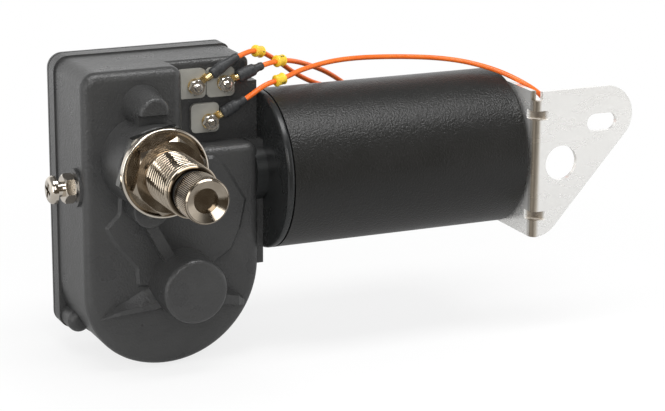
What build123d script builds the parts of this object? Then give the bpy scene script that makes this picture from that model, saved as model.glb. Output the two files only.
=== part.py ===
from build123d import *
import math
import os

# Wiper motor: cast worm gearbox, tube motor along +X, wiper spindle toward -Y.
# Millimetres. The origin is on the spindle axis, in the front face of the back nut.
# Z is up. Depths are Y values, so a smaller depth is nearer the front.

# Gearbox case outline
case_left = -23.6
case_top = 34.0
case_round_x = 8.9
case_round_z = -44.7
case_round_radius = 38.1
case_foot_radius = 30.0
case_corner_left = 6.0
case_corner_right = 3.0
case_wall = 2.6
case_front = 22.0
case_depth = 39.3
case_edge = 3.6
flange_lip = 0.6
flange_width = 6.0
flange_blend = 4.0
gasket_inset = 0.5
gasket_thickness = 0.7
cover_depth = 3.0
cover_edge = 2.0

# Terminal recess in the case's upper right corner
recess_left = 16.2
recess_bottom = 1.8
recess_depth = 10.5
recess_corner = 4.2
recess_edge = 2.0

# Raised land on the case front
land_height = 1.0
land_taper = 50.0
land_points = [
    (13.0, -1.2),
    (27.8, -1.2),
    (32.2, -4.4),
    (41.4, -19.8),
    (39.0, -31.0),
    (35.2, -39.2),
    (28.6, -43.6),
    (16.0, -52.0),
    (-3.8, -50.0),
    (-4.2, -42.6),
    (-10.4, -35.0),
    (-13.6, -30.6),
    (-16.2, -25.4),
    (-10.9, -20.2),
    (-10.0, -8.0),
]
land_corner = 1.6

# Bosses on the case front
main_boss_radius = 16.2
main_boss_base_radius = 17.4
lobe_x = -1.8
lobe_z = -16.8
lobe_radius = 6.8
lobe_front = 9.0
pillar_x = -0.4
pillar_z = 20.7
pillar_front = 7.0
pillar_radius = 5.6
pillar_base_radius = 8.3
pillar_edge = 1.8
pillar_step_z = 20.0
pillar_step_front = 10.0
pillar_web_width = 11.5
pivot_boss_x = 14.2
pivot_boss_z = -49.3
pivot_boss_front = 4.5
pivot_boss_radius = 12.6
pivot_boss_base_radius = 13.2
pivot_boss_edge = 2.0
boss_edge = 0.8
rib_a_plan = [(-3.6, -21.5), (1.2, -21.5), (11.8, -41.2), (7.6, -43.0)]
rib_a_height = 6.0

# Flared ribs beside the pivot boss: X, height, lower and upper Z at the root, lower and upper Z at the top
rib_b_sections = [
    (-18.2, 0.2, -61.6, -61.0, -61.4, -61.2),
    (-11.6, 4.0, -60.6, -56.6, -59.3, -57.6),
    (6.0, 6.3, -60.0, -48.0, -57.4, -54.9),
]
rib_c_sections = [
    (21.0, 6.0, -59.8, -51.5, -58.8, -54.4),
    (31.0, 5.0, -60.8, -54.0, -59.6, -55.9),
    (36.5, 4.4, -62.3, -56.4, -61.0, -57.2),
    (40.4, 0.2, -62.8, -59.6, -62.0, -60.6),
]

# Cover screws
screw_radius = 2.0
screw_pillar_radius = 5.0
screw_pillar_length = 11.5
screw_head_radius = 4.2
screw_head_height = 2.8
screw_slot_width = 1.1
screw_slot_depth = 1.3
screw_hole_clearance = 0.2
screw_places = [(-18.6, 29.0), (42.0, 29.0), (41.5, -46.0)]
lug_z = -68.9
lug_radius = 5.2
lug_inset = 0.6
lug_length = 17.0

# Spindle, its bush and nuts
back_nut_thickness = 4.0
back_nut_flats = 31.2
back_nut_turn = 12.0
nut_chamfer = 1.0
washer_radius = 17.0
washer_thickness = 2.4
washer_bore_clearance = 0.3
washer_edge = 0.8
washer_dish_radius = 15.9
washer_dish_floor_radius = 15.2
washer_dish_depth = 1.0
mounting_nut_flats = 26.0
mounting_nut_thickness = 6.2
mounting_nut_turn = 18.0
mounting_nut_chamfer = 1.6
bush_radius = 10.0
thread_pitch_radius = 9.7
bush_front = -30.5
bush_shank_radius = 11.0
bush_bore_radius = 8.0
bush_chamfer = 1.3
spindle_radius = 6.0
spindle_tail_radius = 5.0
running_clearance = 0.06
front_bearing_length = 15.5
rear_bearing_length = 16.0
seal_length = 2.5
seal_clearance = 0.3
head_radius = 8.2
head_length = 12.8
head_gap = 1.0
head_chamfer = 0.5
head_dish_radius = 7.6
head_dish_depth = 1.7
head_recess_radius = 4.6
head_recess_depth = 3.4
head_neck_radius = 7.2
head_neck_length = 1.2

# Worm, worm wheel and linkage
motor_y = 31.9
motor_z = -11.1
gear_module = 1.25
wheel_teeth = 48
wheel_pivot_x = 11.2
wheel_width = 8.0
wheel_hub_radius = 9.0
wheel_bore_radius = 5.0
wheel_web_thickness = 3.0
wheel_rim_inner_radius = 25.0
wheel_tooth_thickness = 1.75
wheel_front_gap = 0.3
pressure_angle = 20.0
worm_pitch_radius = 5.6
worm_thread_thickness = 1.45
worm_turns = 4.5
shaft_radius = 4.0
half_swing = 40.0
lever_length = 15.0
lever_thickness = 4.0
lever_hub_radius = 8.5
lever_eye_radius = 4.4
lever_depth = 45.0
link_gap = 0.5
link_thickness = 3.5
link_half_width = 3.2
crank_eye_radius = 5.5
crank_pin_radius = 2.5
crank_pin_gap = 0.4
crank_hole_clearance = 0.2
crank_hole_depth = 6.0
crank_pad_radius = 5.0
link_pin_radius = 2.5
pin_head_thickness = 0.8
pin_head_lip = 1.2
clip_thickness = 1.2
clip_width = 1.2
hub_rear_overhang = 1.2
stud_overhang = 1.0

# Shaft bushes and end-play adjuster
shaft_bush_radius = 6.0
left_boss_radius = 7.4
left_boss_length = 9.0
right_boss_radius = 9.0
right_boss_length = 8.4
right_bush_radius = 7.0
adjuster_radius = 3.0
adjuster_head_radius = 5.4
adjuster_head_thickness = 2.8
adjuster_head_left = -34.8
adjuster_boss_height = 1.1
adjuster_boss_radius = 7.4
lock_nut_flats = 10.0
lock_nut_thickness = 4.4
lock_nut_turn = 12.0
thrust_pad_thickness = 1.3
thrust_gap = 0.3
cross_width = 1.4
cross_length = 6.0
cross_depth = 1.6

# Motor
pad_thickness = 3.0
pad_low = -47.5
pad_high = 24.0
pad_front_set_back = 4.0
bell_thickness = 3.1
bell_register = 3.0
bell_edge = 1.2
spigot_radius = 12.0
tube_radius = 31.1
tube_wall = 2.0
tube_length = 97.9
cap_thickness = 2.5
cap_edge = 1.2
cap_register = 2.5
cap_hub_radius = 11.0
cap_hub_inside = 4.5
cap_hub_outside = 1.3
end_bearing_radius = 7.0
end_bearing_length = 5.5
shaft_end_gap = 0.8
core_front_gap = 24.9
slot_count = 10
slot_width = 3.0
slot_depth = 9.0
winding_set_back = 2.5
winding_inner_radius = 7.0
winding_overhang = 7.5
winding_gap = 3.5
commutator_set_back = 12.0
commutator_lead = 1.6
commutator_length = 12.0
commutator_bars = 10
air_gap = 1.0
magnet_thickness = 5.1
magnet_arc = 106.0
magnet_overhang = 4.0
tie_bolt_radius = 2.0
tie_bolt_wall_gap = 0.2
tie_bolt_angle = 60.0
tie_bolt_start = 38.0
tie_boss_radius = 4.2
tie_nut_flats = 7.0
tie_nut_thickness = 3.2
tie_bolt_end_length = 1.4
holder_end_gap = 0.9
holder_plate_thickness = 2.0
holder_box_length = 11.0
holder_rim_thickness = 2.0
holder_bore_radius = 12.6
holder_bolt_clearance = 0.5
brush_width = 6.0
brush_height = 8.0
brush_gap = 0.3
brush_length = 9.0
brush_box_wall = 1.2
brush_box_set_back = 2.4
brush_spring_radius = 2.2
brush_angles = [0.0, 125.0, 180.0]
grommet_radius = 4.2
grommet_flange = 1.5
grommet_y = 56.6

# Mounting bracket, bent from 2 mm sheet
bracket_thickness = 2.0
bracket_bend_radius = 2.6
bracket_inner_bend = 0.6
bracket_top = 16.6
bracket_bottom = -42.6
bracket_bottom_x = 156.5
bracket_bottom_radius = 11.6
bracket_corner_x = 187.3
bracket_corner_z = 4.5
bracket_corner_radius = 12.1
bracket_base_rear = 51.0
bracket_base_corner = 8.0
bracket_hole_x = 167.5
bracket_hole_z = -13.0
bracket_hole_radius = 7.05
bracket_slot_x = 185.5
bracket_slot_z = 2.1
bracket_slot_length = 13.4
bracket_slot_width = 7.1
gusset_places = [7.0, -34.0]
gusset_reach = 6.4
gusset_half_width = 3.0
notch_width = 3.4
notch_depth = 3.6

# Terminals
terminal_places = [(24.1, 24.0), (36.1, 24.3), (29.7, 9.9)]
terminal_pad_centres = [(22.9, 25.0), (34.6, 24.8), (28.2, 11.3)]
terminal_pad_width = 11.4
terminal_pad_height = 11.4
terminal_pad_thickness = 1.5
terminal_pad_corner = 2.0
terminal_stud_radius = 1.5
terminal_stud_front = 26.9
terminal_stud_chamfer = 0.4
terminal_stud_inside = 3.0
terminal_nut_flats = 5.5
terminal_nut_thickness = 2.4
ring_radius = 3.0
ring_thickness = 1.0
barrel_radius = 1.4
barrel_lengths = [2.4, 1.2, 1.2]

# Leads: route points run from the terminal's barrel to the end cap's grommet
lead_radius = 1.0
sleeve_radius = 2.0
marker_radius = 2.4
bend_share = 0.45
lead_1_route = [
    (30.0, 28.8, 28.4),
    (34.8, 28.7, 31.7),
    (41.9, 29.0, 35.1),
    (50.4, 33.2, 36.0),
    (61.8, 40.8, 29.4),
    (73.7, 49.0, 20.9),
    (88.0, 57.0, 13.5),
    (108.0, 65.6, 8.4),
    (132.0, 68.8, -1.6),
    (150.0, 70.3, -8.6),
    (163.0, 70.6, -9.4),
    (166.9, 64.2, -9.6),
    (163.0, 58.0, -9.7),
    (155.0, 58.0, -9.7),
]
lead_2_route = [
    (40.9, 28.8, 26.8),
    (46.0, 28.4, 28.8),
    (53.0, 28.8, 31.0),
    (62.0, 33.0, 31.0),
    (76.0, 43.0, 26.2),
    (92.0, 53.0, 18.4),
    (111.0, 63.0, 4.0),
    (134.0, 67.6, -8.6),
    (150.0, 70.3, -12.2),
    (163.0, 70.6, -12.8),
    (166.9, 64.2, -12.6),
    (163.0, 58.0, -12.9),
    (155.0, 58.0, -12.9),
]
lead_3_route = [
    (34.4, 28.9, 12.9),
    (38.6, 27.6, 15.6),
    (44.0, 25.8, 19.2),
    (50.6, 25.0, 23.8),
    (59.0, 27.0, 24.8),
    (69.0, 32.0, 26.9),
    (88.0, 37.6, 28.4),
    (113.0, 40.6, 26.8),
    (136.0, 37.0, 24.8),
    (149.4, 27.0, 21.8),
    (157.2, 16.6, 17.9),
    (165.0, 12.6, 12.4),
    (171.0, 17.0, 4.0),
    (173.0, 28.0, -3.0),
    (171.0, 41.0, -8.0),
    (163.6, 54.9, -11.3),
    (155.0, 54.9, -11.3),
]
sleeve_lengths = [12.6, 10.8, 10.8]
marker_spans = [(22.0, 26.5), (17.5, 22.0), (24.4, 28.9)]

# What follows from the sizes above
main_boss_front = back_nut_thickness
lug_x = case_left - flange_lip + lug_radius
mounting_nut_rear = -washer_thickness + washer_dish_depth
mounting_nut_front = mounting_nut_rear - mounting_nut_thickness
link_depth = lever_depth - link_gap - link_thickness
case_right = case_round_x + case_round_radius
joint_y = case_front + case_depth
inner_front = case_front + case_wall
recess_floor = case_front + recess_depth
recess_back = recess_floor + case_wall
cover_front = joint_y + gasket_thickness
cover_rear = cover_front + cover_depth
oversize = 2 * case_round_radius
wheel_pitch_radius = gear_module * wheel_teeth / 2
wheel_pivot_z = motor_z - worm_pitch_radius - wheel_pitch_radius
worm_pitch = math.pi * gear_module
worm_outer_radius = worm_pitch_radius + gear_module
worm_start = wheel_pivot_x - 1.5 * worm_pitch
bell_front = case_right + pad_thickness
tube_start = bell_front + bell_thickness
tube_end = tube_start + tube_length
tube_inner_radius = tube_radius - tube_wall
cap_end = tube_end + cap_thickness
plate_start = cap_end + cap_hub_outside
tie_circle = tube_inner_radius - tie_bolt_radius - tie_bolt_wall_gap
tie_y = motor_y + tie_circle * math.cos(math.radians(tie_bolt_angle))
tie_rise = tie_circle * math.sin(math.radians(tie_bolt_angle))
tie_heights = [motor_z + tie_rise, motor_z - tie_rise]
holder_plate_start = tube_end - cap_register - holder_end_gap - holder_plate_thickness
holder_box_start = holder_plate_start - holder_box_length
core_radius = tube_inner_radius - magnet_thickness - air_gap
winding_radius = core_radius - winding_set_back
commutator_radius = core_radius - commutator_set_back
commutator_start = holder_box_start - commutator_lead
core_start = tube_start + core_front_gap
core_length = commutator_start - winding_gap - winding_overhang - core_start

FLAT = (Align.CENTER, Align.CENTER, Align.MIN)


def slab(profile, y_front, y_back):
    """Prism of an X-Z profile between two depths."""
    return extrude(Plane.XZ.offset(-y_front) * profile, amount=y_front - y_back)


def post(x, z, y_back, y_front, radius):
    """Round post standing from y_back toward the front."""
    return Plane.XZ.offset(-y_back) * Pos(x, z, 0) * Cylinder(radius, y_back - y_front, align=FLAT)


def taper_post(x, z, y_back, y_front, radius_back, radius_front):
    height = y_back - y_front
    return Plane.XZ.offset(-y_back) * Pos(x, z, 0) * Cone(radius_back, radius_front, height, align=FLAT)


def rod(y, z, x_start, x_end, radius):
    """Round bar along X."""
    return Plane.YZ.offset(x_start) * Pos(y, z, 0) * Cylinder(radius, x_end - x_start, align=FLAT)


def ring_rod(y, z, x_start, x_end, radius, bore):
    return rod(y, z, x_start, x_end, radius) - rod(y, z, x_start, x_end, bore)


def ring_post(x, z, y_back, y_front, radius, bore):
    return post(x, z, y_back, y_front, radius) - post(x, z, y_back, y_front, bore)


def hex_nut(flats, thickness, bore, turn, trim):
    """Hexagon nut standing on its own base, corners chamfered on both faces."""
    corner = flats / math.sqrt(3)
    prism = extrude(Rot(0, 0, turn) * RegularPolygon(corner, 6), amount=thickness)
    barrel = Cylinder(corner, thickness, align=FLAT)
    barrel = chamfer(barrel.edges().filter_by(GeomType.CIRCLE), trim)
    return (prism & barrel) - Cylinder(bore, thickness, align=FLAT)


def case_outline(inset, left_radius, right_radius):
    """Case outline in X and Z: a square head on a round lower end."""
    left = case_left + inset
    top = case_top - inset
    radius = case_round_radius - inset
    right = case_round_x + radius
    drop = math.sqrt(radius**2 - (case_round_x - left) ** 2)
    foot = (left, case_round_z - drop)
    sides = Polyline(foot, (left, top), (right, top), (right, case_round_z))
    arc = ThreePointArc((right, case_round_z), (case_round_x, case_round_z - radius), foot)
    face = make_face(sides + arc)
    face = fillet(face.vertices().sort_by_distance((foot[0], foot[1], 0))[0], case_foot_radius - inset)
    face = fillet(face.vertices().group_by(Axis.Y)[-1].sort_by(Axis.X)[0], left_radius)
    return fillet(face.vertices().group_by(Axis.Y)[-1].sort_by(Axis.X)[-1], right_radius)


def flange_outline(inset):
    """Outline of the joint flange and the cover, with the lug at its lower left corner."""
    left = case_left - flange_lip + inset
    face = case_outline(inset - flange_lip, case_corner_left, case_corner_right)
    face += Pos(left, lug_z) * Rectangle(lug_x - left, case_round_z - lug_z, align=(Align.MIN, Align.MIN))
    face += Pos(lug_x, lug_z) * Circle(lug_radius - inset)
    corner = (lug_x + lug_radius / 2, lug_z - lug_radius, 0)
    return fillet(face.vertices().sort_by_distance(corner)[0], flange_blend)


def front_outline(inset, left_radius, corner):
    """Case outline less the terminal recess."""
    x = recess_left - inset
    z = recess_bottom - inset
    recess = Pos(x, z) * Rectangle(oversize, oversize, align=(Align.MIN, Align.MIN))
    face = case_outline(inset, left_radius, corner) - recess
    face = fillet(face.vertices().sort_by_distance((x, z, 0))[0], corner)
    face = fillet(face.vertices().group_by(Axis.Y)[-1].sort_by(Axis.X)[-1], corner)
    return fillet(face.vertices().group_by(Axis.X)[-1].sort_by(Axis.Y)[-1], corner)


def flared_rib(sections):
    """Rib on the case front with drafted sides, lofted along X through its cross-sections."""
    faces = []
    for x, height, root_low, root_high, top_low, top_high in sections:
        outline = Polyline(
            (inner_front, root_low),
            (inner_front, root_high),
            (case_front, root_high),
            (case_front - height, top_high),
            (case_front - height, top_low),
            (case_front, root_low),
            close=True,
        )
        faces.append(Plane.YZ.offset(x) * make_face(outline))
    return loft(faces, ruled=True)


def front_features():
    """Bosses, ribs and the raised land on the case front."""
    land = make_face(Polyline(*land_points, close=True))
    land = fillet(land.vertices(), land_corner)
    shape = extrude(Plane.XZ.offset(-case_front) * land, amount=land_height, taper=land_taper)
    shape += slab(land, case_front, inner_front)
    main = taper_post(0, 0, inner_front, main_boss_front, main_boss_base_radius, main_boss_radius)
    shape += fillet(main.edges().group_by(Axis.Y)[0], boss_edge)
    lobe = post(lobe_x, lobe_z, inner_front, lobe_front, lobe_radius)
    shape += fillet(lobe.edges().group_by(Axis.Y)[0], boss_edge)
    pillar = taper_post(pillar_x, pillar_z, inner_front, pillar_front, pillar_base_radius, pillar_radius)
    pillar = fillet(pillar.edges().group_by(Axis.Y)[0], pillar_edge)
    step = Pos(pillar_x, pillar_step_z) * Rectangle(oversize, oversize, align=(Align.CENTER, Align.MAX))
    pillar -= slab(step, pillar_front - boss_edge, pillar_step_front)
    web = Pos(pillar_x, 0) * Rectangle(pillar_web_width, pillar_step_z, align=(Align.CENTER, Align.MIN))
    shape += pillar
    shape += slab(web, pillar_step_front, inner_front)
    pivot = taper_post(
        pivot_boss_x, pivot_boss_z, inner_front, pivot_boss_front, pivot_boss_base_radius, pivot_boss_radius
    )
    shape += fillet(pivot.edges().group_by(Axis.Y)[0], pivot_boss_edge)
    shape += slab(make_face(Polyline(*rib_a_plan, close=True)), case_front - rib_a_height, inner_front)
    shape += flared_rib(rib_b_sections)
    shape += flared_rib(rib_c_sections)
    return shape


def motor_pad():
    """Flat pad on the right wall that the motor's front bell seats on."""
    front = case_front + pad_front_set_back
    outline = Polyline(
        (front, pad_low),
        (joint_y, pad_low),
        (joint_y, pad_high),
        (recess_floor, pad_high),
        (recess_floor, recess_bottom),
        (front, recess_bottom),
        close=True,
    )
    pad = extrude(Plane.YZ.offset(case_right - case_wall) * make_face(outline), amount=case_wall + pad_thickness)
    return pad


def inner_bosses():
    """Shaft bosses, tie bolt bosses and screw pillars inside the case."""
    wall_inside = case_left + case_wall
    right_inside = case_right - case_wall
    shape = rod(motor_y, motor_z, wall_inside - case_wall / 2, wall_inside + left_boss_length, left_boss_radius)
    shape += rod(motor_y, motor_z, right_inside - right_boss_length, right_inside + case_wall / 2, right_boss_radius)
    for height in tie_heights:
        shape += rod(tie_y, height, tie_bolt_start, right_inside + case_wall / 2, tie_boss_radius)
    places = screw_places + [(lug_x, lug_z)]
    columns = [post(x, z, joint_y, joint_y - screw_pillar_length, screw_pillar_radius) for x, z in places]
    keep = slab(case_outline(case_wall / 2, case_corner_left, case_corner_right), inner_front, joint_y)
    return shape + [column & keep for column in columns]


def gearbox_housing():
    front = slab(front_outline(0, case_corner_left, recess_corner), case_front, recess_back)
    front = fillet(front.edges().group_by(Axis.Y)[0], case_edge)
    rear = slab(case_outline(0, case_corner_left, case_corner_right), recess_floor, joint_y)
    rear = fillet(rear.edges().group_by(Axis.Y)[0], recess_edge)
    flange = slab(flange_outline(0), joint_y - flange_width, joint_y)
    adjuster_seat = case_left - adjuster_boss_height
    adjuster_boss = rod(motor_y, motor_z, adjuster_seat, case_left + case_wall, adjuster_boss_radius)
    lug = post(lug_x, lug_z, joint_y, joint_y - lug_length, lug_radius - lug_inset)
    lug = fillet(lug.edges().group_by(Axis.Y)[0], lug_radius * 0.6)
    shape = front + rear + flange + lug + front_features() + motor_pad() + adjuster_boss
    corner = case_corner_right
    shape -= slab(front_outline(case_wall, corner, corner), inner_front, recess_back + case_wall)
    shape -= slab(case_outline(case_wall, corner, 1.0), recess_back, joint_y)
    shape += inner_bosses()
    shape -= post(0, 0, inner_front, main_boss_front, bush_shank_radius)
    shape -= post(wheel_pivot_x, wheel_pivot_z, inner_front, pivot_boss_front + case_wall, wheel_bore_radius)
    shape -= rod(motor_y, motor_z, adjuster_seat, case_left + case_wall + left_boss_length, adjuster_radius)
    shape -= rod(motor_y, motor_z, case_left + case_wall, 0, shaft_bush_radius)
    shape -= rod(motor_y, motor_z, 0, case_right, right_bush_radius)
    shape -= rod(motor_y, motor_z, case_right - pad_thickness / 2, bell_front, spigot_radius)
    for height in tie_heights:
        shape -= rod(tie_y, height, tie_bolt_start, bell_front, tie_bolt_radius)
    for x, z in screw_places:
        shape -= post(x, z, joint_y, joint_y - screw_pillar_length + case_wall, screw_radius)
    shape -= post(lug_x, lug_z, joint_y, joint_y - screw_pillar_length + case_wall, screw_radius)
    for x, z in terminal_places:
        shape -= post(x, z, recess_back, recess_floor, terminal_stud_radius)
    return shape


def gearbox_cover():
    shape = slab(flange_outline(0), cover_front, cover_rear)
    shape = fillet(shape.edges().group_by(Axis.Y)[-1], cover_edge)
    for x, z in screw_places + [(lug_x, lug_z)]:
        shape -= post(x, z, cover_rear, cover_front, screw_radius + screw_hole_clearance)
    return shape


def cover_gasket():
    opening = case_outline(case_wall, case_corner_right, 1.0)
    for x, z in screw_places + [(lug_x, lug_z)]:
        opening -= Pos(x, z) * Circle(screw_pillar_radius)
    ring = flange_outline(gasket_inset) - opening
    for x, z in screw_places + [(lug_x, lug_z)]:
        ring -= Pos(x, z) * Circle(screw_radius + screw_hole_clearance)
    return slab(ring, joint_y, cover_front)


def cover_screw(x, z):
    """Pan head screw driven from the rear."""
    tip = joint_y - screw_pillar_length + case_wall + 1.0
    head = post(x, z, cover_rear + screw_head_height, cover_rear, screw_head_radius)
    head = fillet(head.edges().group_by(Axis.Y)[-1], screw_head_height * 0.45)
    top = cover_rear + screw_head_height
    slot = Pos(x, z) * Rectangle(screw_head_radius * 1.2, screw_slot_width)
    head -= slab(slot, top - screw_slot_depth, top)
    head -= slab(Pos(x, z) * Rectangle(screw_slot_width, screw_head_radius * 1.2), top - screw_slot_depth, top)
    return head + post(x, z, cover_rear, tip, screw_radius)


def back_nut():
    nut = hex_nut(back_nut_flats, back_nut_thickness, thread_pitch_radius, back_nut_turn, nut_chamfer * 0.6)
    return Plane.XZ.offset(-main_boss_front) * nut


def mounting_washer():
    """Washer with a rounded rim and a shallow dish that the nut sits in."""
    washer = post(0, 0, 0, -washer_thickness, washer_radius)
    washer = fillet(washer.edges().group_by(Axis.Y)[0], washer_edge)
    washer -= taper_post(
        0, 0, mounting_nut_rear, -washer_thickness, washer_dish_floor_radius, washer_dish_radius
    )
    return washer - post(0, 0, 0, -washer_thickness, bush_radius + washer_bore_clearance)


def mounting_nut():
    nut = hex_nut(
        mounting_nut_flats, mounting_nut_thickness, thread_pitch_radius, mounting_nut_turn, mounting_nut_chamfer
    )
    return Plane.XZ.offset(-mounting_nut_rear) * nut


def spindle_bush():
    """Threaded bush, pressed into the main boss, at its pitch radius where the nuts sit."""
    shape = post(0, 0, main_boss_front, bush_front, bush_radius)
    shape = chamfer(shape.edges().group_by(Axis.Y)[0], bush_chamfer)
    shape -= ring_post(0, 0, main_boss_front, 0, bush_radius, thread_pitch_radius)
    shape -= ring_post(0, 0, mounting_nut_rear, mounting_nut_front, bush_radius, thread_pitch_radius)
    shape += post(0, 0, inner_front, main_boss_front, bush_shank_radius)
    return shape - post(0, 0, inner_front, bush_front, bush_bore_radius)


def spindle_bearing_front():
    front = bush_front + seal_length
    return ring_post(0, 0, front + front_bearing_length, front, bush_bore_radius, spindle_radius + running_clearance)


def spindle_bearing_rear():
    front = inner_front - rear_bearing_length
    return ring_post(0, 0, inner_front, front, bush_bore_radius, spindle_radius + running_clearance)


def spindle_seal():
    return ring_post(0, 0, bush_front + seal_length, bush_front, bush_bore_radius, spindle_radius + seal_clearance)


def wiper_spindle():
    head_back = bush_front - head_gap
    head_front = head_back - head_length
    head = post(0, 0, head_back - head_neck_length, head_front, head_radius)
    head = chamfer(head.edges().group_by(Axis.Y)[0], head_chamfer)
    head += post(0, 0, head_back, head_back - head_neck_length, head_neck_radius)
    head -= post(0, 0, head_front + head_recess_depth, head_front, head_recess_radius)
    head -= taper_post(0, 0, head_front + head_dish_depth, head_front, head_recess_radius, head_dish_radius)
    shape = head + post(0, 0, inner_front, head_back, spindle_radius)
    return shape + post(0, 0, lever_depth + lever_thickness + clip_thickness, inner_front, spindle_tail_radius)


def linkage_points():
    """Rest position of the lever's eye and of the crank's eye, in X and Z."""
    ground = math.hypot(wheel_pivot_x, wheel_pivot_z)
    crank = lever_length * math.sin(math.radians(half_swing))
    link = math.sqrt(crank**2 + ground**2 - lever_length**2)
    far = math.acos((ground**2 + lever_length**2 - (link + crank) ** 2) / (2 * ground * lever_length))
    near = math.acos((ground**2 + lever_length**2 - (link - crank) ** 2) / (2 * ground * lever_length))
    lever_angle = math.atan2(wheel_pivot_z, wheel_pivot_x) - (far + near) / 2
    eye = (lever_length * math.cos(lever_angle), lever_length * math.sin(lever_angle))
    dx = eye[0] - wheel_pivot_x
    dz = eye[1] - wheel_pivot_z
    reach = math.hypot(dx, dz)
    bend = math.acos((reach**2 + crank**2 - link**2) / (2 * reach * crank))
    crank_angle = math.atan2(dz, dx) + bend
    pin = (wheel_pivot_x + crank * math.cos(crank_angle), wheel_pivot_z + crank * math.sin(crank_angle))
    return eye, pin


def worm_wheel():
    """Helical toothed wheel with a crank pad on its rear."""
    outer = wheel_pitch_radius + gear_module
    root = wheel_pitch_radius - 1.25 * gear_module
    lean = math.tan(math.radians(pressure_angle))
    half_tip = wheel_tooth_thickness / 2 - gear_module * lean
    half_root = wheel_tooth_thickness / 2 + 1.25 * gear_module * lean
    outline = []
    for tooth in range(wheel_teeth):
        centre = math.pi / 2 - tooth * 2 * math.pi / wheel_teeth
        for radius, half in ((root, half_root), (outer, half_tip), (outer, -half_tip), (root, -half_root)):
            angle = centre + half / radius
            outline.append((radius * math.cos(angle), radius * math.sin(angle)))
    section = make_face(Polyline(*outline, close=True)) - Circle(wheel_rim_inner_radius)
    lead_slope = worm_pitch / (2 * math.pi * worm_pitch_radius)
    twist = math.degrees(wheel_width * lead_slope / wheel_pitch_radius)
    rear = motor_y + wheel_width / 2
    start = Rot(0, 0, -twist / 2) * section
    rim = Solid.extrude_linear_with_rotation(start.face(), (0, 0, 0), (0, 0, wheel_width), twist)
    place = Plane.XZ.offset(-rear) * Pos(wheel_pivot_x, wheel_pivot_z, 0)
    shape = place * rim
    web = Circle(wheel_rim_inner_radius) - Circle(wheel_bore_radius + running_clearance)
    web = Pos(wheel_pivot_x, wheel_pivot_z) * web
    shape += slab(web, motor_y - wheel_web_thickness / 2, motor_y + wheel_web_thickness / 2)
    hub_rear = rear + hub_rear_overhang
    bore = wheel_bore_radius + running_clearance
    hub_front = inner_front + wheel_front_gap
    shape += ring_post(wheel_pivot_x, wheel_pivot_z, hub_rear, hub_front, wheel_hub_radius, bore)
    pin = linkage_points()[1]
    pad = post(pin[0], pin[1], link_depth - crank_pin_gap, motor_y, crank_pad_radius)
    pad -= post(wheel_pivot_x, wheel_pivot_z, link_depth, motor_y, bore)
    shape += pad - post(wheel_pivot_x, wheel_pivot_z, link_depth, hub_rear, bore + clip_width + wheel_front_gap)
    hole = crank_pin_radius + crank_hole_clearance
    return shape - post(pin[0], pin[1], link_depth, link_depth - crank_hole_depth, hole)


def wheel_stud():
    rear = motor_y + wheel_width / 2 + hub_rear_overhang + clip_thickness + stud_overhang
    return post(wheel_pivot_x, wheel_pivot_z, rear, pivot_boss_front + case_wall, wheel_bore_radius)


def wheel_clip():
    front = motor_y + wheel_width / 2 + hub_rear_overhang + wheel_front_gap
    radius = wheel_bore_radius + clip_width
    return ring_post(wheel_pivot_x, wheel_pivot_z, front + clip_thickness, front, radius, wheel_bore_radius)


def worm_shaft():
    """Armature shaft with the worm thread cut on it."""
    root = worm_pitch_radius - 1.25 * gear_module
    lean = math.tan(math.radians(pressure_angle))
    half_tip = worm_thread_thickness / 2 - gear_module * lean
    half_root = worm_thread_thickness / 2 + (worm_pitch_radius - root) * lean
    inner = root - 0.2
    path = Helix(worm_pitch, worm_turns * worm_pitch, radius=inner)
    tooth = Polyline(
        (inner, -half_root),
        (inner, half_root),
        (worm_outer_radius, half_tip),
        (worm_outer_radius, -half_tip),
        close=True,
    )
    thread = sweep(make_face(Plane.XZ * tooth), path=path, is_frenet=True)
    place = Plane(origin=(worm_start, motor_y, motor_z), x_dir=(0, 0, -1), z_dir=(1, 0, 0))
    left = case_left + case_wall + case_wall + thrust_pad_thickness + thrust_gap
    core_end = worm_start + worm_turns * worm_pitch + worm_pitch
    core = rod(motor_y, motor_z, left, cap_end - shaft_end_gap, shaft_radius)
    core += rod(motor_y, motor_z, worm_start - gear_module, core_end - worm_pitch / 2, root)
    return core + place * thread


def armature_core():
    slots = [
        Rot(0, 0, n * 360 / slot_count) * Pos(core_radius - slot_depth / 2, 0) * Rectangle(slot_depth, slot_width)
        for n in range(slot_count)
    ]
    section = Circle(core_radius) - slots - Circle(shaft_radius)
    return extrude(Plane.YZ.offset(core_start) * Pos(motor_y, motor_z) * section, amount=core_length)


def armature_windings():
    reach = winding_radius - (core_radius - slot_depth)
    bar = Pos(core_radius - slot_depth + reach / 2, 0) * Rectangle(reach, slot_width)
    bars = [Rot(0, 0, n * 360 / slot_count) * bar for n in range(slot_count)]
    section = Sketch() + bars
    shape = extrude(Plane.YZ.offset(core_start) * Pos(motor_y, motor_z) * section, amount=core_length)
    for x in (core_start - winding_overhang, core_start + core_length):
        ends = ring_rod(motor_y, motor_z, x, x + winding_overhang, winding_radius, winding_inner_radius)
        shape += fillet(ends.edges().filter_by(GeomType.CIRCLE).sort_by(SortBy.RADIUS)[-2:], 2.0)
    return shape


def commutator():
    section = Circle(commutator_radius) - Circle(shaft_radius)
    for n in range(commutator_bars):
        cut = Pos(commutator_radius, 0) * Rectangle(1.0, 0.6)
        section -= Rot(0, 0, n * 360 / commutator_bars) * cut
    return extrude(Plane.YZ.offset(commutator_start) * Pos(motor_y, motor_z) * section, amount=commutator_length)


def shaft_bush_left():
    inside = case_left + case_wall
    return ring_rod(
        motor_y, motor_z, inside, inside + left_boss_length, shaft_bush_radius, shaft_radius + running_clearance
    )


def shaft_bush_gearbox():
    start = case_right - case_wall - right_boss_length
    return ring_rod(
        motor_y, motor_z, start, case_right - pad_thickness / 2, right_bush_radius, shaft_radius + running_clearance
    )


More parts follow.
